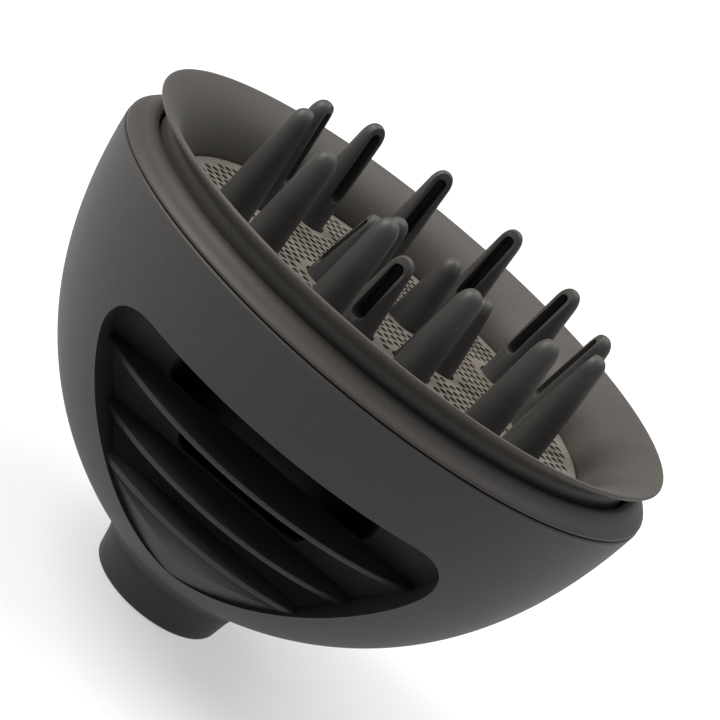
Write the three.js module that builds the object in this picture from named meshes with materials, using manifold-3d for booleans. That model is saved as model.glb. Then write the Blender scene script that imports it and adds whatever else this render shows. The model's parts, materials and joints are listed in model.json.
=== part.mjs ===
// Hair dryer diffuser: domed air shell on a round neck, a flared bowl with a
// perforated plate that slides over two rings of hollow slotted prongs.
// Millimetres, +Z along the axis from the neck towards the prong tips.
import * as THREE from 'three';
import Module from 'manifold-3d';

const wasm = await Module();
wasm.setup();

// ---- driving dimensions ----------------------------------------------------
const GAP = 0.32;              // clearance between neighbouring pieces
const SEG_LARGE = 60;          // facets round the large turned pieces
const SEG_MEDIUM = 36;         // facets round the neck and duct
const SEG_PRONG = 10;          // facets round one prong

const SEAM_R = 82.8;           // largest radius, at the seam
const SEAM_Z = 103;            // height of the seam
const SHELL_WALL = 2.2;        // wall of the dome
const NECK_END = 3;            // end face of the neck; finished pieces are lowered by it
const NECK_TOP = 13.4;         // where the neck meets the dome
const NECK_BORE_R = 16.2;      // air inlet radius
const RIM_R = 80;              // rim of the bowl
const RIM_Z = 115;             // height of the rim, bowl pushed in
const PLATE_R = 64.6;          // perforated plate
const PLATE_TOP = 98.6;
const PLATE_T = 1.2;
const CARRIER_TOP = 94;        // prong carrier
const CARRIER_R = 70;
const DUCT_R = 34.4;           // outer radius of the inner duct
const FLANGE_Z = 85;           // underside of the duct flange

const WINDOWS = 3;             // louvred windows round the dome
const POCKET_WALL = 1.6;       // wall of each window pocket
const FIN_T = 1.4;             // louvre fin thickness
const FINS = [
  { name: 'upper', z: 65.7, r: 66.2 },
  { name: 'middle', z: 52.4, r: 59.6 },
  { name: 'lower', z: 43.65, r: 58.5 },
];

const OUTER_RING = { count: 12, r: 48, firstDeg: 15, tip: 131.2, slot: 3.2, slotLow: 107.4 };
const INNER_RING = { count: 6, r: 18, firstDeg: 15, tip: 120.3, slot: 4.4, slotLow: 100.6 };
const SCREW_R = 58;            // pitch radius of the carrier screws

// ---- materials -------------------------------------------------------------
const plastic = (hex, roughness) => {
  const settings = { color: hex, roughness, metalness: 0 };
  return new THREE.MeshStandardMaterial(settings);
};
const SHELL_MAT = plastic(0x4a4643, 0.55);
const RING_MAT = plastic(0x4e4945, 0.5);
const BOWL_MAT = plastic(0x4b4744, 0.5);
const PRONG_MAT = plastic(0x4c4947, 0.5);
const PLATE_MAT = plastic(0x7b746c, 0.5);
const INNER_MAT = plastic(0x2c2d31, 0.6);
const SEAL_MAT = plastic(0x1c1c1e, 0.85);
const STEEL_MAT = new THREE.MeshStandardMaterial({ color: 0x9a9c9e, roughness: 0.35, metalness: 1 });

// ---- mesh helpers ----------------------------------------------------------
const UP = new THREE.Vector3(0, 0, 1);

// Joins vertices that share a position and drops triangles with no area.
function weld(geometry) {
  const source = geometry.index ? geometry.toNonIndexed() : geometry;
  const pos = source.attributes.position;
  const keys = new Map();
  const verts = [];
  const ids = [];
  for (let i = 0; i < pos.count; i += 1) {
    const p = [pos.getX(i), pos.getY(i), pos.getZ(i)];
    const key = p.map((v) => Math.round(v * 2000)).join(',');
    if (!keys.has(key)) {
      keys.set(key, verts.length / 3);
      verts.push(...p);
    }
    ids.push(keys.get(key));
  }
  const tris = [];
  for (let i = 0; i < ids.length; i += 3) {
    const [a, b, c] = ids.slice(i, i + 3);
    if (a !== b && b !== c && a !== c) tris.push(a, b, c);
  }
  return { verts, tris };
}

function signedVolume(verts, tris) {
  const at = (i) => new THREE.Vector3(verts[3 * i], verts[3 * i + 1], verts[3 * i + 2]);
  let sum = 0;
  for (let i = 0; i < tris.length; i += 3) {
    sum += at(tris[i]).dot(at(tris[i + 1]).cross(at(tris[i + 2])));
  }
  return sum / 6;
}

function solidOf(geometry) {
  const { verts, tris } = weld(geometry);
  if (signedVolume(verts, tris) < 0) tris.reverse();
  const mesh = new wasm.Mesh({
    numProp: 3,
    vertProperties: new Float32Array(verts),
    triVerts: new Uint32Array(tris),
  });
  return new wasm.Manifold(mesh);
}

function geometryOf(solid) {
  const mesh = solid.getMesh();
  const geometry = new THREE.BufferGeometry();
  const position = new THREE.BufferAttribute(new Float32Array(mesh.vertProperties), 3);
  geometry.setAttribute('position', position);
  geometry.setIndex(new THREE.BufferAttribute(new Uint32Array(mesh.triVerts), 1));
  const flat = geometry.toNonIndexed();
  flat.computeVertexNormals();
  return flat;
}

// Turns a closed outline of [radius, height] pairs about the Z axis.
function turned(outline, segments) {
  const points = outline.map(([r, z]) => new THREE.Vector2(r, z));
  points.push(points[0].clone());
  const geometry = new THREE.LatheGeometry(points, segments);
  geometry.rotateX(Math.PI / 2);
  return solidOf(geometry);
}

// Straight bar along Y, from yBack to yFront, with an outline of [x, z] pairs.
function barY(outline, yBack, yFront) {
  const shape = new THREE.Shape(outline.map(([x, z]) => new THREE.Vector2(x, z)));
  const settings = { depth: yBack - yFront, bevelEnabled: false };
  const geometry = new THREE.ExtrudeGeometry(shape, settings);
  geometry.rotateX(Math.PI / 2);
  geometry.translate(0, yBack, 0);
  return solidOf(geometry);
}

// Straight bar along X, half the given width each side, outline of [y, z] pairs.
function barX(outline, width) {
  const shape = new THREE.Shape(outline.map(([y, z]) => new THREE.Vector2(y, z)));
  const geometry = new THREE.ExtrudeGeometry(shape, { depth: width, bevelEnabled: false });
  const basis = new THREE.Matrix4();
  const across = new THREE.Vector3(0, 1, 0);
  basis.makeBasis(across, UP, new THREE.Vector3(1, 0, 0));
  geometry.applyMatrix4(basis);
  geometry.translate(-width / 2, 0, 0);
  return solidOf(geometry);
}

function rod(radius, z0, z1, segments) {
  const geometry = new THREE.CylinderGeometry(radius, radius, z1 - z0, segments);
  geometry.rotateX(Math.PI / 2);
  geometry.translate(0, 0, (z0 + z1) / 2);
  return geometry;
}

function rodAt(radius, z0, z1, segments, x, y) {
  const geometry = rod(radius, z0, z1, segments);
  geometry.translate(x, y, 0);
  return solidOf(geometry);
}

const polar = (r, deg) => {
  const a = THREE.MathUtils.degToRad(deg);
  return [r * Math.cos(a), r * Math.sin(a)];
};

function placed(solid, deg, r) {
  const geometry = geometryOf(solid);
  geometry.rotateZ(THREE.MathUtils.degToRad(deg));
  const [x, y] = polar(r, deg);
  geometry.translate(x, y, 0);
  return geometry;
}

// Moves each corner of a convex outline outwards by a distance.
function grown(outline, distance) {
  const count = outline.length;
  const centre = outline.reduce((s, p) => [s[0] + p[0] / count, s[1] + p[1] / count], [0, 0]);
  return outline.map((p, i) => {
    const before = outline[(i + count - 1) % count];
    const after = outline[(i + 1) % count];
    const along = [after[0] - before[0], after[1] - before[1]];
    const length = Math.hypot(along[0], along[1]);
    let normal = [along[1] / length, -along[0] / length];
    const outward = normal[0] * (p[0] - centre[0]) + normal[1] * (p[1] - centre[1]);
    if (outward < 0) normal = [-normal[0], -normal[1]];
    return [p[0] + distance * normal[0], p[1] + distance * normal[1]];
  });
}

const part = new THREE.Group();
part.name = 'hair_dryer_diffuser';

function addGeometry(name, geometry, material) {
  geometry.translate(0, 0, -NECK_END);
  const mesh = new THREE.Mesh(geometry, material);
  mesh.name = name;
  part.add(mesh);
}

const addSolid = (name, solid, material) => addGeometry(name, geometryOf(solid), material);

function sampled(curve, steps) {
  return curve.getPoints(steps).map((p) => [p.x, p.y]);
}

// ---- dome shell ------------------------------------------------------------
function domeCurve(offset, steps) {
  const start = new THREE.Vector2(SEAM_R - offset, SEAM_Z);
  const bend = new THREE.Vector2(78.8 - offset, 59.8);
  const lower = new THREE.Vector2(57.9 - 0.8 * offset, 34 + 0.7 * offset);
  const end = new THREE.Vector2(28.5 - 0.4 * offset, 18.7 + 0.95 * offset);
  return sampled(new THREE.CubicBezierCurve(start, bend, lower, end), steps);
}

function domeOutside() {
  const foot = [[24.6, 16.5], [22.7, 14.9], [22.2, NECK_TOP], [0, NECK_TOP]];
  return turned([[0, SEAM_Z], ...domeCurve(0, 10), ...foot], SEG_LARGE);
}

function domeInside() {
  const curve = domeCurve(SHELL_WALL, 7);
  curve[0][1] = SEAM_Z + 1;
  return turned([[0, SEAM_Z + 1], ...curve, [17.3, 16.6], [0, 16.6]], SEG_LARGE);
}

// ---- louvred windows -------------------------------------------------------
function windowOutline() {
  const corner = new THREE.CubicBezierCurve(
    new THREE.Vector2(38, 82.6),
    new THREE.Vector2(44.4, 82.6),
    new THREE.Vector2(48.8, 79.4),
    new THREE.Vector2(48.8, 73.5),
  );
  const side = new THREE.CubicBezierCurve(
    new THREE.Vector2(48.8, 73.5),
    new THREE.Vector2(48.8, 61.5),
    new THREE.Vector2(20, 29.5),
    new THREE.Vector2(0, 27.8),
  );
  const right = [...sampled(corner, 3), ...sampled(side, 8).slice(1)];
  const left = right.slice(0, -1).reverse().map(([x, z]) => [-x, z]);
  return [...right, ...left];
}

const POCKET_BACK = [
  [-110, 96], [-51, 96], [-47.5, 76], [-44, 66], [-41, 56],
  [-41, 50], [-44, 45.5], [-48, 42.5], [-110, 42.5],
];

// The hollow of one window, facing -Y: a deep upper part over a shallow ramp.
function windowHollow(growth) {
  const front = barY(grown(windowOutline(), growth), -20, -110);
  const deep = barX(grown(POCKET_BACK, growth), 130);
  const r0 = 57.4 - growth * 1.2;
  const ramp = [[r0, 42.6], [110, 42.6], [110, 20], [r0 - 22, 20]];
  const shallow = turned(ramp, SEG_LARGE);
  return front.intersect(deep.add(shallow));
}

function windowOpenings() {
  const upper = [[-31, 68], [-28, 65], [28, 65], [31, 68], [31, 77], [28, 80], [-28, 80], [-31, 77]];
  const middle = [[-20, 56], [-17, 53.6], [17, 53.6], [20, 56], [20, 61.4], [17, 63.8], [-17, 63.8], [-20, 61.4]];
  return barY(upper, -36, -70).add(barY(middle, -36, -60));
}

const windowDeg = (k) => (360 / WINDOWS) * k;
const bossDeg = (k) => -30 + (360 / WINDOWS) * k;

function outerShell() {
  const outside = domeOutside();
  const tub = windowHollow(POCKET_WALL);
  const hollow = windowHollow(0).add(windowOpenings());
  let cavity = domeInside();
  let cut = null;
  for (let k = 0; k < WINDOWS; k += 1) {
    const turn = [0, 0, windowDeg(k)];
    cavity = cavity.subtract(tub.rotate(turn));
    cut = cut ? cut.add(hollow.rotate(turn)) : hollow.rotate(turn);
  }
  let shell = outside.subtract(cavity).subtract(cut);
  for (let k = 0; k < WINDOWS; k += 1) {
    const [x, y] = polar(SCREW_R, bossDeg(k));
    const boss = rodAt(3.6, 44, FLANGE_Z - GAP, 14, x, y).intersect(outside);
    const pilot = rodAt(1.6, 74, 90, 10, x, y);
    shell = shell.add(boss).subtract(pilot);
  }
  return shell.subtract(rodAt(17.3, 0, 30, SEG_MEDIUM, 0, 0));
}

function addFins() {
  const space = windowHollow(-GAP - 0.05);
  for (const fin of FINS) {
    const disc = rodAt(fin.r, fin.z - FIN_T / 2, fin.z + FIN_T / 2, SEG_LARGE, 0, 0);
    const blade = disc.intersect(space);
    for (let k = 0; k < WINDOWS; k += 1) {
      const name = `${fin.name}_fin_${k + 1}`;
      addSolid(name, blade.rotate([0, 0, windowDeg(k)]), SHELL_MAT);
    }
  }
}

// ---- neck, duct and shoulder ring ------------------------------------------
function neckCollar() {
  const top = NECK_TOP - GAP;
  return turned([
    [NECK_BORE_R, NECK_END], [18.2, NECK_END], [19.1, 3.6], [19.55, 4.9], [20.2, 8.6], [21.4, top],
    [17, top], [17, 16.8], [15.4, 16.8], [15.4, 10.2], [NECK_BORE_R, 9.4],
    [NECK_BORE_R, 8.3], [17.2, 8.3], [17.2, 6], [NECK_BORE_R, 6],
  ], SEG_MEDIUM);
}

function neckSeal() {
  return turned([[15.7, 6.4], [16.9, 6.4], [16.9, 7.9], [15.7, 7.9]], SEG_MEDIUM);
}

function innerDuct() {
  const low = 16.8 + GAP;
  const top = FLANGE_Z + 1.4;
  return turned([
    [15.4, low], [17, low], [17, 18.6], [27, 34], [32.6, 44], [DUCT_R, 54], [DUCT_R, FLANGE_Z],
    [CARRIER_R, FLANGE_Z], [CARRIER_R, top], [DUCT_R - 1.6, top], [DUCT_R - 1.6, 54],
    [31.1, 44.6], [25.6, 34.6], [15.4, 19],
  ], SEG_MEDIUM);
}

function ductWithHoles() {
  let duct = innerDuct();
  for (let k = 0; k < WINDOWS; k += 1) {
    const [x, y] = polar(SCREW_R, bossDeg(k));
    duct = duct.subtract(rodAt(1.8, 80, 90, 10, x, y));
  }
  return duct;
}

function shoulderRing() {
  const low = SEAM_Z + GAP;
  return turned([
    [82.55, low], [82.5, low + 0.6], [81.5, 104.9], [79.9, 106], [78.6, 107.2], [77.3, 107.9],
    [75.9, 107.5], [75.2, 106.7], [75.2, 104.9], [77.9, 104.9], [77.9, 99.4], [79.9, 99.4],
    [79.9, low],
  ], SEG_LARGE);
}

// ---- prong carrier and prongs ----------------------------------------------
function ringPlaces(ring) {
  const step = 360 / ring.count;
  return Array.from({ length: ring.count }, (_, k) => ring.firstDeg + step * k);
}

const prongPlaces = () => [
  ...ringPlaces(OUTER_RING).map((deg) => polar(OUTER_RING.r, deg)),
  ...ringPlaces(INNER_RING).map((deg) => polar(INNER_RING.r, deg)),
];

function prongCarrier() {
  const foot = FLANGE_Z + 1.4 + GAP;
  const top = CARRIER_TOP;
  let carrier = turned([
    [0, top], [CARRIER_R, top], [CARRIER_R, foot], [CARRIER_R - 1.6, foot],
    [CARRIER_R - 1.6, top - 2], [0, top - 2],
  ], SEG_LARGE);
  for (let k = 0; k < WINDOWS; k += 1) {
    const [x, y] = polar(SCREW_R, bossDeg(k));
    carrier = carrier.add(rodAt(3.4, foot, top - 1, 12, x, y));
    carrier = carrier.subtract(rodAt(1.8, 80, 100, 8, x, y));
  }
  for (const [x, y] of prongPlaces()) {
    carrier = carrier.subtract(rodAt(4.2 + GAP, 80, 100, SEG_PRONG, x, y));
  }
  for (let k = 0; k < 12; k += 1) {
    const deg = 30 * k;
    const [x, y] = polar(33, deg);
    carrier = carrier.subtract(rodAt(4.2, 80, 100, 8, x, y));
    const [u, v] = polar(60, deg);
    if (k % 4 !== 3) carrier = carrier.subtract(rodAt(4, 80, 100, 8, u, v));
  }
  return carrier.subtract(rodAt(7, 80, 100, 16, 0, 0));
}

function prongProfile(tip, foot) {
  return [
    [0, tip], [1.7, tip - 0.4], [2.9, tip - 1.8], [3.3, tip - 4.6], [5.3, 100], [6, foot],
    [4.2, foot], [4.2, 90.4], [3, 90.4], [3, 95], [4.1, 98], [2.1, tip - 5], [0, tip - 2.1],
  ];
}

// Racetrack opening in the wall on the local +X side.
function prongSlot(width, z0, z1) {
  const half = width / 2;
  const outline = [];
  for (let k = 0; k <= 3; k += 1) {
    const a = (Math.PI * k) / 3;
    outline.push([half * Math.cos(a), z1 - half + half * Math.sin(a)]);
  }
  for (let k = 0; k <= 3; k += 1) {
    const a = Math.PI + (Math.PI * k) / 3;
    outline.push([half * Math.cos(a), z0 + half + half * Math.sin(a)]);
  }
  return barY(outline, -0.2, -9).rotate([0, 0, 90]);
}

function prong(ring) {
  const outline = prongProfile(ring.tip, CARRIER_TOP + GAP);
  const body = turned(outline, SEG_PRONG);
  return body.subtract(prongSlot(ring.slot, ring.slotLow, ring.tip - 2.6));
}

function addProngs(ring, label, facing) {
  const shape = prong(ring).rotate([0, 0, facing]);
  ringPlaces(ring).forEach((deg, k) => {
    const name = `${label}_prong_${String(k + 1).padStart(2, '0')}`;
    addGeometry(name, placed(shape, deg, ring.r), PRONG_MAT);
  });
}

function addScrews() {
  const head = CARRIER_TOP + GAP;
  for (let k = 0; k < WINDOWS; k += 1) {
    const [x, y] = polar(SCREW_R, bossDeg(k));
    const screw = rodAt(2.7, head, head + 1.5, 12, x, y).add(rodAt(1.25, 77, head + 0.5, 8, x, y));
    const drive = rodAt(1.2, head + 0.7, head + 3, 6, x, y);
    addSolid(`carrier_screw_${k + 1}`, screw.subtract(drive), STEEL_MAT);
  }
}

// ---- sliding bowl ----------------------------------------------------------
function flareCurve() {
  const curve = new THREE.CubicBezierCurve(
    new THREE.Vector2(65.2, PLATE_TOP + 0.3),
    new THREE.Vector2(66.6, 106),
    new THREE.Vector2(71, 111.6),
    new THREE.Vector2(RIM_R - 0.6, RIM_Z),
  );
  return sampled(curve, 6);
}

function flaredBowl() {
  const inside = flareCurve();
  const lip = [[RIM_R, RIM_Z - 0.5], [RIM_R - 0.2, RIM_Z - 1.2]];
  const under = [[76.6, 112.1], [74.5, 110.7], [74.5, 86.5], [73, 86.5], [73, 108.6], [68.4, 105.4]];
  const ledge = [[66.2, 102], [66.2, 95.4], [62.4, 95.4], [62.4, 97.1], [65.2, 97.1]];
  return turned([...inside, ...lip, ...under, ...ledge], SEG_LARGE);
}

function perforatedPlate() {
  let plate = rodAt(PLATE_R, PLATE_TOP - PLATE_T, PLATE_TOP, SEG_LARGE, 0, 0);
  for (const [x, y] of prongPlaces()) {
    plate = plate.subtract(rodAt(6.4, 90, 110, 12, x, y));
  }
  return plate;
}

function glideRing() {
  return turned([[74.9, 86.5], [77.2, 86.5], [77.2, 88.3], [74.9, 88.3]], SEG_LARGE);
}

// ---- assembly --------------------------------------------------------------
addSolid('outer_shell', outerShell(), SHELL_MAT);
addSolid('shoulder_ring', shoulderRing(), RING_MAT);
addSolid('neck_collar', neckCollar(), SHELL_MAT);
addSolid('neck_seal', neckSeal(), SEAL_MAT);
addSolid('inner_duct', ductWithHoles(), INNER_MAT);
addFins();
addSolid('prong_carrier', prongCarrier(), INNER_MAT);
addProngs(OUTER_RING, 'outer', 180);
addProngs(INNER_RING, 'inner', 0);
addScrews();
addSolid('flared_bowl', flaredBowl(), BOWL_MAT);
addSolid('perforated_plate', perforatedPlate(), PLATE_MAT);
addSolid('glide_ring', glideRing(), SEAL_MAT);

export default part;
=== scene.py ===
"""Looks of the hair dryer diffuser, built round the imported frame.

Lengths are millimetres until new_object turns them into metres. Heights are the ones of the part's
source, and new_object lowers them by NECK_END, so that the end face of the neck lies at zero.
"""
import json
import math

import bmesh
import bpy
import numpy as np
from mathutils import Matrix, Vector
from mathutils.geometry import delaunay_2d_cdt


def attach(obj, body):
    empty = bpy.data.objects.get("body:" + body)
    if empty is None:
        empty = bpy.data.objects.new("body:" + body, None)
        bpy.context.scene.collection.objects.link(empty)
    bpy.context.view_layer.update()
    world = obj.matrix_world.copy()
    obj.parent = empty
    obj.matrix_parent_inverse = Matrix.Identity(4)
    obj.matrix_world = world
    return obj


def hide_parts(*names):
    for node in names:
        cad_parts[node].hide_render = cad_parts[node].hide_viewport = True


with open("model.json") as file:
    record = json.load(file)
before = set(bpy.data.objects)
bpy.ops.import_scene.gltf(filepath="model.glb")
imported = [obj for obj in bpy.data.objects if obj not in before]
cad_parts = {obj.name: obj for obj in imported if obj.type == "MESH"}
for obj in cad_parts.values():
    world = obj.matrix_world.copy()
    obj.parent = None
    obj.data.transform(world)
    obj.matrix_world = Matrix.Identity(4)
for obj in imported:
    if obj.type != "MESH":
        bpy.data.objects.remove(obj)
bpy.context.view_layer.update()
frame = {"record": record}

MM = 0.001
GAP = 0.32
SEAM_R, SEAM_Z = 82.8, 103.0
SHELL_WALL = 2.2
RIM_Z = 115.0
NECK_END, NECK_TOP, NECK_BORE_R = 3.0, 13.4, 16.2
PLATE_TOP, PLATE_T, PLATE_R = 98.6, 1.2, 64.6
FLANGE_Z, FLANGE_TOP = 85.0, 86.4
CARRIER_TOP, CARRIER_R = 94.0, 70.0
SCREW_R, SCREW_DEG = 58.0, -30.0
WINDOWS, WINDOW_STEP = 3, 120.0
SLOT_OF = {s["node"]: s["material_slot"] for s in frame["record"]["subparts"]}


# ---------------------------------------------------------------- places
def on_circle(radius, degrees):
    angle = math.radians(degrees)
    return radius * math.cos(angle), radius * math.sin(angle)


def ring_points(x, y, radius, count):
    angles = [2 * math.pi * k / count for k in range(count)]
    return [(x + radius * math.cos(a), y + radius * math.sin(a)) for a in angles]


def screw_places():
    return [on_circle(SCREW_R, SCREW_DEG + WINDOW_STEP * k) for k in range(WINDOWS)]


# ---------------------------------------------------------------- mesh helpers
def new_object(name, verts, faces):
    mesh = bpy.data.meshes.new(name)
    mesh.from_pydata([(x * MM, y * MM, (z - NECK_END) * MM) for x, y, z in verts], [], faces)
    mesh.validate()
    obj = bpy.data.objects.new(name, mesh)
    bpy.context.scene.collection.objects.link(obj)
    return obj


def face_outwards(obj):
    bm = bmesh.new()
    bm.from_mesh(obj.data)
    bmesh.ops.remove_doubles(bm, verts=bm.verts, dist=1e-7)
    bmesh.ops.recalc_face_normals(bm, faces=bm.faces)
    bm.to_mesh(obj.data)
    bm.free()


def rounded(points, radii, steps=4, closed=True):
    """Outline with its corners turned into arcs; radii is one number or one for each point."""
    count = len(points)
    if not isinstance(radii, (list, tuple)):
        radii = [radii] * count
    out = []
    for i, p in enumerate(points):
        p = Vector(p)
        ends = not closed and i in (0, count - 1)
        if radii[i] <= 0 or ends:
            out.append(tuple(p))
            continue
        a = Vector(points[i - 1]) - p
        b = Vector(points[(i + 1) % count]) - p
        reach = min(radii[i], a.length * 0.45, b.length * 0.45)
        start, end = p + a.normalized() * reach, p + b.normalized() * reach
        for k in range(steps + 1):
            t = k / steps
            q = start * (1 - t) ** 2 + p * 2 * t * (1 - t) + end * t * t
            out.append(tuple(q))
    return out


def bezier(p0, p1, p2, p3, steps):
    out = []
    for k in range(steps + 1):
        t = k / steps
        w = ((1 - t) ** 3, 3 * t * (1 - t) ** 2, 3 * t * t * (1 - t), t**3)
        out.append(tuple(sum(w[j] * p[i] for j, p in enumerate((p0, p1, p2, p3))) for i in (0, 1)))
    return out


def turned(name, outline, segments=192):
    """Closed outline of (radius, height) pairs turned about the Z axis."""
    verts, faces = [], []
    n = len(outline)
    for s in range(segments):
        a = 2 * math.pi * s / segments
        verts += [(r * math.cos(a), r * math.sin(a), z) for r, z in outline]
    for s in range(segments):
        t = (s + 1) % segments
        for i in range(n):
            j = (i + 1) % n
            faces.append((s * n + i, t * n + i, t * n + j, s * n + j))
    obj = new_object(name, verts, faces)
    face_outwards(obj)
    return obj


def shade(obj, degrees=35):
    bpy.context.view_layer.objects.active = obj
    for face in obj.data.polygons:
        face.use_smooth = True
    obj.data.set_sharp_from_angle(angle=math.radians(degrees))


def apply_modifiers(obj):
    graph = bpy.context.evaluated_depsgraph_get()
    mesh = bpy.data.meshes.new_from_object(obj.evaluated_get(graph))
    obj.modifiers.clear()
    obj.data = mesh


def combine(obj, tool, operation, keep_tool=False):
    modifier = obj.modifiers.new("solid", "BOOLEAN")
    modifier.operation = operation
    modifier.solver = "EXACT"
    modifier.object = tool
    apply_modifiers(obj)
    if not keep_tool:
        bpy.data.objects.remove(tool)


def soften_edges(obj, width, degrees=40, steps=2):
    modifier = obj.modifiers.new("soft", "BEVEL")
    modifier.width = width * MM
    modifier.segments = steps
    modifier.limit_method = "ANGLE"
    modifier.angle_limit = math.radians(degrees)
    modifier.use_clamp_overlap = True
    modifier.harden_normals = False
    apply_modifiers(obj)


def turn_copy(obj, name, degrees, offset=(0, 0, 0)):
    mesh = obj.data.copy()
    mesh.name = name
    shift = Matrix.Translation(Vector(offset) * MM)
    mesh.transform(shift @ Matrix.Rotation(math.radians(degrees), 4, "Z"))
    copy = bpy.data.objects.new(name, mesh)
    bpy.context.scene.collection.objects.link(copy)
    return copy


def prism(name, outline, place, low, high):
    """Straight bar: place(u, v, w) gives a point from the outline's (u, v) and w from low to high."""
    n = len(outline)
    verts = [place(u, v, low) for u, v in outline] + [place(u, v, high) for u, v in outline]
    faces = [tuple(range(n)), tuple(reversed(range(n, 2 * n)))]
    faces += [(i, (i + 1) % n, n + (i + 1) % n, n + i) for i in range(n)]
    obj = new_object(name, verts, faces)
    face_outwards(obj)
    return obj


# ---------------------------------------------------------------- materials
def node_of(tree, kind, **inputs):
    node = tree.nodes.new(kind)
    for key, value in inputs.items():
        node.inputs[key.replace("_", " ")].default_value = value
    return node


def plastic(name, colour, rough, grain=0.000035, scale=2600.0, mottled=0.10, sheen=0.0, edge_highlight=0.0):
    """Moulded plastic: fine grain, faint mottling, smudged gloss and a painted highlight on sharp convex
    edges.
    """
    material = bpy.data.materials.new(name)
    material.use_nodes = True
    tree = material.node_tree
    tree.nodes.clear()
    link = tree.links.new
    out = tree.nodes.new("ShaderNodeOutputMaterial")
    shader = tree.nodes.new("ShaderNodeBsdfPrincipled")
    link(shader.outputs["BSDF"], out.inputs["Surface"])
    where = tree.nodes.new("ShaderNodeTexCoord")

    broad = node_of(tree, "ShaderNodeTexNoise", Scale=38.0, Detail=4.0, Roughness=0.6)
    link(where.outputs["Object"], broad.inputs["Vector"])
    fine = node_of(tree, "ShaderNodeTexNoise", Scale=scale, Detail=3.0, Roughness=0.65)
    link(where.outputs["Object"], fine.inputs["Vector"])
    speck = node_of(tree, "ShaderNodeTexNoise", Scale=scale * 0.45, Detail=2.0, Roughness=0.7)
    link(where.outputs["Object"], speck.inputs["Vector"])

    tone = tree.nodes.new("ShaderNodeValToRGB")
    tone.color_ramp.elements[0].position = 0.3
    tone.color_ramp.elements[0].color = (*[c * (1 - mottled) for c in colour], 1)
    tone.color_ramp.elements[1].position = 0.7
    tone.color_ramp.elements[1].color = (*[min(1, c * (1 + mottled)) for c in colour], 1)
    link(broad.outputs["Fac"], tone.inputs["Fac"])

    dust = tree.nodes.new("ShaderNodeValToRGB")
    dust.color_ramp.elements[0].position = 0.35
    dust.color_ramp.elements[0].color = (0.9, 0.9, 0.9, 1)
    dust.color_ramp.elements[1].position = 0.68
    dust.color_ramp.elements[1].color = (1.12, 1.12, 1.12, 1)
    link(speck.outputs["Fac"], dust.inputs["Fac"])
    blend = tree.nodes.new("ShaderNodeMix")
    blend.data_type = "RGBA"
    blend.blend_type = "MULTIPLY"
    blend.inputs["Factor"].default_value = 1.0
    link(tone.outputs["Color"], blend.inputs["A"])
    link(dust.outputs["Color"], blend.inputs["B"])
    colour_out = blend.outputs["Result"]

    # Painted highlight: convex edges, found by pointiness, are lightened towards 2.2 times the colour.
    if edge_highlight > 0:
        geometry = tree.nodes.new("ShaderNodeNewGeometry")
        edge = tree.nodes.new("ShaderNodeValToRGB")
        edge.color_ramp.elements[0].position = 0.52
        edge.color_ramp.elements[0].color = (0, 0, 0, 1)
        edge.color_ramp.elements[1].position = 0.62
        edge.color_ramp.elements[1].color = (edge_highlight, edge_highlight, edge_highlight, 1)
        link(geometry.outputs["Pointiness"], edge.inputs["Fac"])
        highlight_mix = tree.nodes.new("ShaderNodeMix")
        highlight_mix.data_type = "RGBA"
        link(edge.outputs["Color"], highlight_mix.inputs["Factor"])
        link(colour_out, highlight_mix.inputs["A"])
        highlight_mix.inputs["B"].default_value = (*[min(1, c * 2.2) for c in colour], 1)
        colour_out = highlight_mix.outputs["Result"]
    link(colour_out, shader.inputs["Base Color"])

    gloss = node_of(tree, "ShaderNodeMapRange", To_Min=rough - 0.06, To_Max=rough + 0.08)
    link(broad.outputs["Fac"], gloss.inputs["Value"])
    link(gloss.outputs["Result"], shader.inputs["Roughness"])

    bump = node_of(tree, "ShaderNodeBump", Strength=0.55, Distance=grain)
    link(fine.outputs["Fac"], bump.inputs["Height"])
    link(bump.outputs["Normal"], shader.inputs["Normal"])
    shader.inputs["IOR"].default_value = 1.36
    shader.inputs["Sheen Weight"].default_value = sheen
    shader.inputs["Sheen Roughness"].default_value = 0.6
    return material


def steel(name):
    material = plastic(name, (0.42, 0.42, 0.44), 0.32, grain=0.00001, scale=900.0)
    shader = next(n for n in material.node_tree.nodes if n.type == "BSDF_PRINCIPLED")
    shader.inputs["Metallic"].default_value = 1.0
    return material


# The last number of the shell, ring, bowl and prong plastics is the strength of their painted edge
# highlight.
MATERIALS = {
    "shell_plastic": plastic("shell_plastic", (0.024, 0.0220, 0.0207), 0.58, sheen=0.02, edge_highlight=0.3),
    "ring_plastic": plastic("ring_plastic", (0.027, 0.0243, 0.0222), 0.56, sheen=0.02, edge_highlight=0.2),
    "bowl_plastic": plastic("bowl_plastic", (0.038, 0.0345, 0.0305), 0.54, sheen=0.02, edge_highlight=0.2),
    "prong_plastic": plastic("prong_plastic", (0.031, 0.0295, 0.0280), 0.50, sheen=0.02, edge_highlight=0.3),
    "plate_plastic": plastic("plate_plastic", (0.110, 0.098, 0.083), 0.50),
    # inner_plastic is darker and bluer than the outer plastics: painted shade for the pieces deep inside
    # the hollows.
    "inner_plastic": plastic("inner_plastic", (0.004, 0.0042, 0.006), 0.70),
    "seal_rubber": plastic("seal_rubber", (0.014, 0.014, 0.015), 0.78, grain=0.00005, scale=1500.0),
    "screw_steel": steel("screw_steel"),
}


def finish_piece(obj, node, body="dome", degrees=35):
    """Gives a piece its material and shading, and ties it to the node that it replaces."""
    obj.data.materials.clear()
    obj.data.materials.append(MATERIALS[SLOT_OF[node]])
    shade(obj, degrees)
    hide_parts(node)
    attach(obj, body)
    return obj


# ---------------------------------------------------------------- dome shell
def dome_outline(offset, steps):
    return bezier(
        (SEAM_R - offset, SEAM_Z),
        (78.8 - offset, 59.8),
        (57.9 - 0.8 * offset, 34 + 0.7 * offset),
        (28.5 - 0.4 * offset, 18.7 + 0.95 * offset),
        steps,
    )


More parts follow.
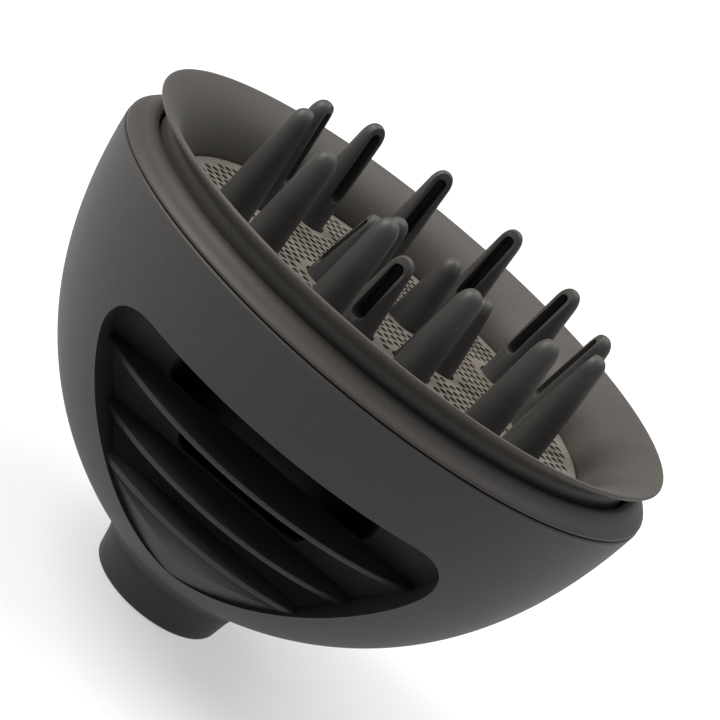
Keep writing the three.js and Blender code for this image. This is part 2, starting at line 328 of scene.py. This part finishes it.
def shell_ring():
    outside = dome_outline(0.0, 56)
    lip = [(SEAM_R - 0.75, SEAM_Z - 0.02), (SEAM_R - 0.3, SEAM_Z - 0.12), (SEAM_R - 0.06, SEAM_Z - 0.5)]
    outside = lip + [p for p in outside if p[1] < SEAM_Z - 0.7]
    foot = bezier((28.5, 18.7), (26.2, 17.45), (23.1, 16.0), (22.3, 13.72), 10)[1:]
    end = [(22.2, 13.5), (21.95, NECK_TOP), (17.3, NECK_TOP), (17.3, 16.6)]
    inside = list(reversed(dome_outline(SHELL_WALL, 30)))
    inside[-1] = (SEAM_R - SHELL_WALL, SEAM_Z)
    return turned("outer_shell_body", outside + foot + end + inside, 216)


def window_outline():
    corner = bezier((38, 82.6), (44.4, 82.6), (48.8, 79.4), (48.8, 73.5), 10)
    side = bezier((48.8, 73.5), (48.8, 61.5), (20, 29.5), (0, 27.8), 34)[1:]
    top = [(38 - 38 * k / 8, 82.6) for k in range(8)]
    right = list(reversed(top))[:-1] + corner + side
    left = [(-x, z) for x, z in reversed(right[1:-1])]
    return right + left


def grown(outline, distance):
    out = []
    count = len(outline)
    centre = Vector((0, 62))
    for i, p in enumerate(outline):
        along = Vector(outline[(i + 1) % count]) - Vector(outline[i - 1])
        normal = Vector((along.y, -along.x)).normalized()
        if normal.dot(Vector(p) - centre) < 0:
            normal = -normal
        out.append(tuple(Vector(p) + normal * distance))
    return out


def clipped(outline, level, above):
    """Part of a convex outline of (x, z) pairs above or below a level."""
    out = []
    count = len(outline)
    for i, (x0, z0) in enumerate(outline):
        x1, z1 = outline[(i + 1) % count]
        inside = z0 >= level if above else z0 <= level
        if inside:
            out.append((x0, z0))
        if (z0 - level) * (z1 - level) < 0:
            t = (level - z0) / (z1 - z0)
            out.append((x0 + (x1 - x0) * t, level))
    return out


# Height and depth of the back wall of a window's deep upper part.
BACK = ((42.5, 48.0), (45.5, 44.4), (50, 41.2), (56, 41.0), (66, 44.0), (76, 47.5), (96, 52.0))
RAMP_R, RAMP_Z, RAMP_SLOPE = 57.4, 42.6, 0.974
SPLIT_Z = 42.5
FRONT_Y = -110.0


def deep_back(_, z, growth):
    heights, depths = zip(*BACK)
    return -float(np.interp(z, heights, depths)) + growth


def ramp_back(x, z, growth):
    radius = RAMP_R - 1.2 * growth + (z - RAMP_Z) * RAMP_SLOPE
    return -math.sqrt(max(radius * radius - x * x, 1.0))


def scoop(name, outline, back, growth, rings=14):
    """Cutter from far in front of the dome to a curved back, over an outline."""
    n = len(outline)
    cx = sum(p[0] for p in outline) / n
    cz = sum(p[1] for p in outline) / n
    verts = [(cx, back(cx, cz, growth), cz)]
    for k in range(1, rings + 1):
        s = k / rings
        for x, z in outline:
            u, v = cx + (x - cx) * s, cz + (z - cz) * s
            verts.append((u, back(u, v, growth), v))
    rim = 1 + (rings - 1) * n
    verts += [(x, FRONT_Y, z) for x, z in outline]
    front = len(verts) - n
    faces = [(0, 1 + (i + 1) % n, 1 + i) for i in range(n)]
    for k in range(rings - 1):
        a, b = 1 + k * n, 1 + (k + 1) * n
        faces += [(a + i, a + (i + 1) % n, b + (i + 1) % n, b + i) for i in range(n)]
    faces += [(rim + i, rim + (i + 1) % n, front + (i + 1) % n, front + i) for i in range(n)]
    faces.append(tuple(front + i for i in range(n)))
    obj = new_object(name, verts, faces)
    face_outwards(obj)
    return obj


def slot_cutter(name, half, low, high, y0, y1):
    outline = rounded([(-half, low), (half, low), (half, high), (-half, high)], 5.5, 6)
    return prism(name, outline, lambda u, v, w: (u, w, v), y0, y1)


def build_shell():
    """Dome with three tubs added behind its windows, then hollowed and opened into the shell."""
    shell = shell_ring()
    skin = turned("skin", dome_outline(0.6, 40) + [(0.01, 20.0), (0.01, SEAM_Z)], 96)
    outline = window_outline()
    deep_tub = scoop("deep_tub", clipped(grown(outline, 1.6), SPLIT_Z - 1.6, True), deep_back, 1.6)
    low_tub = scoop("low_tub", clipped(grown(outline, 1.2), SPLIT_Z - 1.3, False), ramp_back, 1.7)
    combine(deep_tub, skin, "INTERSECT", True)
    combine(low_tub, skin, "INTERSECT")
    deep = scoop("deep", clipped(outline, SPLIT_Z, True), deep_back, 0.0)
    low = scoop("low", clipped(outline, SPLIT_Z + 0.02, False), ramp_back, 0.0)
    upper = slot_cutter("upper", 31.0, 65.0, 80.2, -30, -60)
    middle = slot_cutter("middle", 20.0, 53.6, 63.8, -30, -60)
    for k in range(WINDOWS):
        turn = WINDOW_STEP * k
        for tool in (deep_tub, low_tub):
            combine(shell, turn_copy(tool, "tool", turn), "UNION")
        for tool in (deep, low, upper, middle):
            combine(shell, turn_copy(tool, "tool", turn), "DIFFERENCE")
    for tool in (deep_tub, low_tub, deep, low, upper, middle):
        bpy.data.objects.remove(tool)
    shell.name = "shell_dome"
    face_outwards(shell)
    return finish_piece(shell, "outer_shell", "dome", 32)


# ---------------------------------------------------------------- louvre fins
FINS = {"upper": (65.7, 66.2), "middle": (52.4, 59.6), "lower": (43.65, 58.5)}
FIN_T = 1.4


def half_width(level):
    """Half width of the window at a height."""
    cut = clipped(window_outline(), level, True)
    return max(x for x, z in cut if abs(z - level) < 1e-6)


def build_fin(name, level, radius):
    width = half_width(level) + 0.5
    back = deep_back(0, level, 0.5)
    edge = min(width, math.sqrt(radius * radius - back * back))
    steps = 60
    front = []
    for k in range(steps + 1):
        x = -edge + 2 * edge * k / steps
        front.append((x, -math.sqrt(radius * radius - x * x)))
    outline = front + [(edge, back), (-edge, back)]
    fin = prism(name, outline, lambda u, v, w: (u, v, w), level - FIN_T / 2, level + FIN_T / 2)
    soften_edges(fin, 0.32, 50, 3)
    return fin


def build_fins():
    for label, (level, radius) in FINS.items():
        blank = build_fin(label + "_blank", level, radius)
        for k in range(WINDOWS):
            piece = turn_copy(blank, f"louvre_{label}_{k + 1}", WINDOW_STEP * k)
            finish_piece(piece, f"{label}_fin_{k + 1}")
        bpy.data.objects.remove(blank)


# ---------------------------------------------------------------- turned pieces
def build_neck():
    top = NECK_TOP - GAP
    bore = NECK_BORE_R
    outline = rounded(
        [
            (bore, NECK_END), (19.2, NECK_END), (19.7, 5.9), (20.3, 9.2), (21.4, top), (17, top),
            (17, 16.8), (15.4, 16.8), (15.4, 10.2), (bore, 9.4), (bore, 8.3), (17.2, 8.3),
            (17.2, 6), (bore, 6),
        ],
        [0.4, 2.2, 1.5, 0.8, 0.15, 0.1, 0.4, 0.4, 0.4, 0.3, 0.1, 0.1, 0.1, 0.1],
        6,
    )
    finish_piece(turned("neck_sleeve", outline, 128), "neck_collar")


def build_seal():
    outline = rounded([(15.7, 6.4), (16.9, 6.4), (16.9, 7.9), (15.7, 7.9)], 0.5, 5)
    finish_piece(turned("neck_seal_ring", outline, 96), "neck_seal")


def build_shoulder():
    low = SEAM_Z + GAP
    outline = rounded(
        [
            (82.55, low), (82.6, low + 0.6), (81.6, 104.95), (79.9, 106.05), (78.6, 107.2), (77.2, 107.9),
            (75.9, 107.5), (75.2, 106.7), (75.2, 104.9), (77.9, 104.9), (77.9, 99.4), (79.9, 99.4),
            (79.9, low),
        ],
        [0.2, 0.5, 0.8, 1.0, 0.8, 0.8, 0.8, 0.5, 0.3, 0.2, 0.3, 0.3, 0.1],
        6,
    )
    finish_piece(turned("shoulder_band", outline, 216), "shoulder_ring")


def build_bowl():
    inside = bezier((65.2, PLATE_TOP + 0.3), (66.6, 106), (71, 111.6), (79.35, RIM_Z), 30)
    rim = [(79.62, 114.98), (79.86, 114.82), (79.97, 114.55), (79.98, 114.3), (79.84, 114.02)]
    step = [(79.55, 113.86), (79.42, 113.7), (79.3, 113.5)]
    under = rounded(
        [
            (78.6, 113.1), (76.6, 112.1), (74.5, 110.7), (74.5, 86.5), (73, 86.5), (73, 108.6),
            (68.4, 105.4),
        ],
        [0.5, 0.5, 1.2, 0.3, 0.3, 0.8, 1.0],
        5,
        closed=False,
    )
    ledge = rounded(
        [(66.2, 102), (66.2, 95.4), (62.4, 95.4), (62.4, 97.1), (65.2, 97.1)],
        [1, 0.3, 0.3, 0.1, 0],
        4,
    )
    outline = inside + rim + step + under + ledge
    finish_piece(turned("bowl_flare", outline, 216), "flared_bowl", "bowl")


def build_glide():
    outline = rounded([(74.9, 86.5), (77.2, 86.5), (77.2, 88.3), (74.9, 88.3)], 0.5, 4)
    finish_piece(turned("glide_band", outline, 144), "glide_ring", "bowl")


def build_duct():
    outline = rounded(
        [
            (15.4, 17.12), (17, 17.12), (17, 18.6), (27, 34), (32.6, 44), (34.4, 54),
            (34.4, FLANGE_Z), (CARRIER_R, FLANGE_Z), (CARRIER_R, FLANGE_TOP), (32.8, FLANGE_TOP),
            (32.8, 54), (31.1, 44.6), (25.6, 34.6), (15.4, 19),
        ],
        [0.2, 0.2, 2, 4, 4, 4, 1.5, 0.3, 0.3, 1.5, 4, 4, 4, 2],
        5,
    )
    duct = turned("air_duct", outline, 128)
    for x, y in screw_places():
        combine(duct, round_bar("hole", 1.8, 80, 90, 24, x, y), "DIFFERENCE")
    finish_piece(duct, "inner_duct")


def round_bar(name, radius, low, high, segments, x, y):
    return prism(name, ring_points(x, y, radius, segments), lambda u, v, w: (u, v, w), low, high)


# ---------------------------------------------------------------- prongs
# Height of the tip, width of the slot, where the flat face and the slot begin, and the turn of both.
OUTER = {
    "label": "outer", "count": 12, "r": 48.0, "tip": 131.2, "slot": 3.3, "face": 104.2, "foot": 107.5,
    "turn": 180.0,
}
INNER = {
    "label": "inner", "count": 6, "r": 18.0, "tip": 120.3, "slot": 3.6, "face": 99.8, "foot": 101.4,
    "turn": 0.0,
}
PRONG_FIRST_DEG = 15
STEM_R, STEM_Z = 5.25, 100.3
CROWN_R, CROWN_H = 3.3, 4.6
PRONG_FOOT = CARRIER_TOP + GAP


def prong_places(ring):
    for k in range(ring["count"]):
        degrees = PRONG_FIRST_DEG + 360 / ring["count"] * k
        yield k, degrees, *on_circle(ring["r"], degrees)


def stem_point(share, tip):
    """Radius and height of the straight stem, from its foot (0) to the crown (1)."""
    length = tip - CROWN_H - STEM_Z
    return STEM_R + (CROWN_R - STEM_R) * share, STEM_Z + length * share


def prong_blank(ring):
    """Whole round prong, before its slot is cut."""
    tip = ring["tip"]
    low = [(5.95, PRONG_FOOT), (5.8, 96.4), (5.5, 98.2), (STEM_R, STEM_Z)]
    stem = [stem_point(k / 12, tip) for k in range(1, 13)]
    crown = bezier((CROWN_R, tip - CROWN_H), (3.1, tip - 1.5), (1.8, tip), (0.0, tip), 12)[1:-1]
    outline = low + stem + crown
    segments = 64
    verts = []
    for k in range(segments):
        a = 2 * math.pi * k / segments
        verts += [(r * math.cos(a), r * math.sin(a), z) for r, z in outline]
    n = len(outline)
    faces = []
    for k in range(segments):
        j = (k + 1) % segments
        faces += [(k * n + i, j * n + i, j * n + i + 1, k * n + i + 1) for i in range(n - 1)]
    top = len(verts)
    verts.append((0, 0, tip))
    faces += [(k * n + n - 1, ((k + 1) % segments) * n + n - 1, top) for k in range(segments)]
    faces.append(tuple(k * n for k in reversed(range(segments))))
    obj = new_object(ring["label"] + "_blank", verts, faces)
    face_outwards(obj)
    return obj


def slot_groove(half, z0, z1):
    """Cutter for a slot with round ends, a little wider at its foot and narrower at its back."""
    outline = []
    for k in range(13):
        a = math.pi * k / 12
        outline.append((half * math.cos(a), z1 - half + half * math.sin(a)))
    foot = half * 1.1
    for k in range(13):
        a = math.pi + math.pi * k / 12
        outline.append((foot * math.cos(a), z0 + half + foot * math.sin(a)))
    depth_low, depth_high = -3.6, -1.9
    verts = []
    for u, v in outline:
        t = (v - z0) / (z1 - z0)
        verts.append((depth_low + (depth_high - depth_low) * t, u * 0.92, v))
    verts += [(9.0, u, v) for u, v in outline]
    n = len(outline)
    faces = [tuple(range(n)), tuple(reversed(range(n, 2 * n)))]
    faces += [(i, (i + 1) % n, n + (i + 1) % n, n + i) for i in range(n)]
    groove = new_object("groove", verts, faces)
    face_outwards(groove)
    return groove


def build_prong(ring):
    """Tapered prong, cut flat on the side that its slot opens from (local +X)."""
    tip = ring["tip"]
    prong = prong_blank(ring)
    low = ring["face"]
    stem_r, _ = stem_point((low - STEM_Z) / (tip - CROWN_H - STEM_Z), tip)
    wedge = [(stem_r, low), (9, low), (9, tip + 3), (0.9, tip + 3), (1.85, tip - 3.4)]
    flat = prism("flat", rounded(wedge, [0, 0, 0, 0, 1.5], 5), lambda u, v, w: (u, w, v), -9, 9)
    combine(prong, flat, "DIFFERENCE")
    combine(prong, slot_groove(ring["slot"] / 2, ring["foot"], tip - 2.3), "DIFFERENCE")
    soften_edges(prong, 0.22, 42, 2)
    face_outwards(prong)
    return prong


def build_prongs():
    for ring in (OUTER, INNER):
        blank = build_prong(ring)
        for k, a, x, y in prong_places(ring):
            name = f"prong_{ring['label']}_{k + 1:02d}"
            piece = turn_copy(blank, name, a + ring["turn"], (x, y, 0))
            finish_piece(piece, f"{ring['label']}_prong_{k + 1:02d}", "dome", 38)
        bpy.data.objects.remove(blank)


# ---------------------------------------------------------------- carrier and screws
def carrier_holes():
    """Centre and radius of every hole: prong sockets, air holes, the middle and the screws."""
    holes = [(x, y, 4.52) for ring in (OUTER, INNER) for _, _, x, y in prong_places(ring)]
    for k in range(12):
        holes.append((*on_circle(33, 30 * k), 4.2))
        if k % 4 != 3:
            holes.append((*on_circle(60, 30 * k), 4.0))
    holes.append((0, 0, 7.0))
    return holes + [(x, y, 1.8) for x, y in screw_places()]


def build_carrier():
    foot = FLANGE_TOP + GAP
    outline = rounded(
        [
            (0.6, CARRIER_TOP), (CARRIER_R, CARRIER_TOP), (CARRIER_R, foot), (CARRIER_R - 1.6, foot),
            (CARRIER_R - 1.6, CARRIER_TOP - 2), (0.6, CARRIER_TOP - 2),
        ],
        [0, 0.5, 0.3, 0.3, 0.5, 0],
        4,
    )
    carrier = turned("prong_deck", outline, 144)
    for x, y in screw_places():
        combine(carrier, round_bar("boss", 3.4, foot, 93, 32, x, y), "UNION")
    verts, faces = [], []
    n = 24
    for x, y, radius in carrier_holes():
        base = len(verts)
        for z in (80, 100):
            verts += [(u, v, z) for u, v in ring_points(x, y, radius, n)]
        faces += [(base + k, base + (k + 1) % n, base + n + (k + 1) % n, base + n + k) for k in range(n)]
        faces.append(tuple(base + k for k in range(n)))
        faces.append(tuple(base + n + k for k in reversed(range(n))))
    tool = new_object("holes", verts, faces)
    face_outwards(tool)
    combine(carrier, tool, "DIFFERENCE")
    finish_piece(carrier, "prong_carrier")


def screw_blank():
    low = [(0.01, 77), (0.5, 77.1), (1.15, 78.4)]
    thread = []
    for j in range(20):
        z = 78.6 + j * 0.75
        thread += [(1.05, z), (1.25, z + 0.3), (1.05, z + 0.6)]
    seat = CARRIER_TOP + GAP
    head = [
        (1.25, seat), (2.55, seat), (2.7, 94.6), (2.6, 95.3), (2.1, 95.75), (0.9, 95.82), (0.01, 95.82),
    ]
    screw = turned("screw", low + thread + head, 40)
    arm = [(-1.35, -0.24), (1.35, -0.24), (1.35, 0.24), (-1.35, 0.24)]
    combine(screw, prism("bar", arm, lambda u, v, w: (u, v, w), 94.9, 97), "DIFFERENCE")
    combine(screw, prism("bar", arm, lambda u, v, w: (v, u, w), 94.9, 97), "DIFFERENCE")
    return screw


def build_screws():
    blank = screw_blank()
    for k, (x, y) in enumerate(screw_places()):
        piece = turn_copy(blank, f"deck_screw_{k + 1}", 20 * k, (x, y, 0))
        finish_piece(piece, f"carrier_screw_{k + 1}")
    bpy.data.objects.remove(blank)


# ---------------------------------------------------------------- perforated plate
HOLE_R, HOLE_PITCH, HOLE_SIDES = 1.2, 3.25, 14
HOLE_MARGIN = 0.6
OPENING_R = 6.15
PLATE_EDGE = 3.0


def plate_holes(openings):
    """Centres of the air holes: staggered rows, clear of the edge and of the prong openings."""
    row_step = 0.8660254 * HOLE_PITCH
    rows = int(PLATE_R / row_step) + 1
    holes = []
    for j in range(-rows, rows + 1):
        y = j * row_step
        for i in range(-40, 41):
            x = (i + 0.5 * (j % 2)) * HOLE_PITCH
            near = any(math.hypot(x - u, y - v) < OPENING_R + HOLE_R + HOLE_MARGIN for u, v in openings)
            if math.hypot(x, y) <= PLATE_R - PLATE_EDGE and not near:
                holes.append((x, y))
    return holes


def build_plate():
    """Flat plate triangulated round its holes, closed by a wall along every free edge."""
    openings = [(x, y) for ring in (OUTER, INNER) for _, _, x, y in prong_places(ring)]
    holes = plate_holes(openings)
    loops = [ring_points(0, 0, PLATE_R, 180)]
    loops += [ring_points(x, y, OPENING_R, 40) for x, y in openings]
    loops += [ring_points(x, y, HOLE_R, HOLE_SIDES) for x, y in holes]
    points, edges = [], []
    for loop in loops:
        base = len(points)
        points += [Vector(p) for p in loop]
        edges += [(base + k, base + (k + 1) % len(loop)) for k in range(len(loop))]
    out_points, _, out_faces, _, _, _ = delaunay_2d_cdt(points, edges, [], 1, 1e-5)
    centres = np.array([(x, y) for x, y in holes] + openings)
    limits = np.array([HOLE_R] * len(holes) + [OPENING_R] * len(openings))
    flat = []
    for face in out_faces:
        cx = sum(out_points[i].x for i in face) / 3
        cy = sum(out_points[i].y for i in face) / 3
        gaps = np.hypot(centres[:, 0] - cx, centres[:, 1] - cy)
        if (gaps < limits * 0.93).any():
            continue
        flat.append(tuple(face))
    n = len(out_points)
    low, high = PLATE_TOP - PLATE_T, PLATE_TOP
    verts = [(p.x, p.y, high) for p in out_points] + [(p.x, p.y, low) for p in out_points]
    faces = list(flat) + [tuple(n + i for i in reversed(f)) for f in flat]
    count = {}
    for f in flat:
        for k in range(3):
            a, b = f[k], f[(k + 1) % 3]
            key = (min(a, b), max(a, b))
            count[key] = None if key in count else (a, b)
    faces += [(b, a, n + a, n + b) for a, b in (v for v in count.values() if v)]
    plate = new_object("air_plate", verts, faces)
    face_outwards(plate)
    finish_piece(plate, "perforated_plate", "bowl", 30)


build_shell()
build_fins()
build_neck()
build_seal()
build_shoulder()
build_duct()
build_carrier()
build_prongs()
build_screws()
build_bowl()
build_glide()
build_plate()


# ---------------------------------------------------------------- floor, light, camera
def build_floor():
    bpy.ops.mesh.primitive_plane_add(size=60, location=(0, 0, -0.0002))
    floor = bpy.context.object
    floor.name = "floor"
    material = bpy.data.materials.new("floor_paper")
    material.use_nodes = True
    shader = material.node_tree.nodes["Principled BSDF"]
    shader.inputs["Base Color"].default_value = (0.36, 0.36, 0.36, 1)
    shader.inputs["Roughness"].default_value = 0.95
    shader.inputs["Specular IOR Level"].default_value = 0.1
    shader.inputs["Emission Color"].default_value = (1, 1, 1, 1)
    shader.inputs["Emission Strength"].default_value = 0.5
    floor.data.materials.append(material)


def soft_sun(name, towards, spread, strength, colour=(1, 1, 1)):
    """Broad even light from one direction; spread is the width of the source in degrees."""
    data = bpy.data.lights.new(name, "SUN")
    data.angle = math.radians(spread)
    data.energy = strength
    data.color = colour
    light = bpy.data.objects.new(name, data)
    bpy.context.scene.collection.objects.link(light)
    light.rotation_mode = "QUATERNION"
    light.rotation_quaternion = (-Vector(towards)).to_track_quat("-Z", "Y")


def build_light():
    world = bpy.data.worlds.new("soft_room")
    bpy.context.scene.world = world
    world.use_nodes = True
    back = world.node_tree.nodes["Background"]
    back.inputs["Color"].default_value = (1, 1, 1, 1)
    back.inputs["Strength"].default_value = 0.42
    soft_sun("key", (-0.70, -0.10, 0.66), 40, 4.4, (1.0, 0.97, 0.93))
    soft_sun("top", (0.20, 0.22, 1.0), 60, 2.8, (1.0, 0.98, 0.95))
    bpy.context.scene.view_settings.view_transform = "Standard"  # keeps the pale floor white


CAMERA_PLACE = (0.0020, -0.4906, 0.2237)
CAMERA_RIGHT = (0.7624, 0.1764, 0.6225)
CAMERA_UP = (-0.6469, 0.2079, 0.7336)


def build_camera():
    """Camera tilted so that the axis of the part leans to the upper right."""
    data = bpy.data.cameras.new("camera")
    data.sensor_width = 36.0
    data.lens = 100.0
    data.clip_start = 0.01
    data.clip_end = 100.0
    camera = bpy.data.objects.new("camera", data)
    bpy.context.scene.collection.objects.link(camera)
    right, up = Vector(CAMERA_RIGHT), Vector(CAMERA_UP)
    back = right.cross(up)
    turn = Matrix((right, up, back)).transposed()
    camera.matrix_world = Matrix.Translation(CAMERA_PLACE) @ turn.to_4x4()
    bpy.context.scene.camera = camera


build_floor()
build_light()
build_camera()
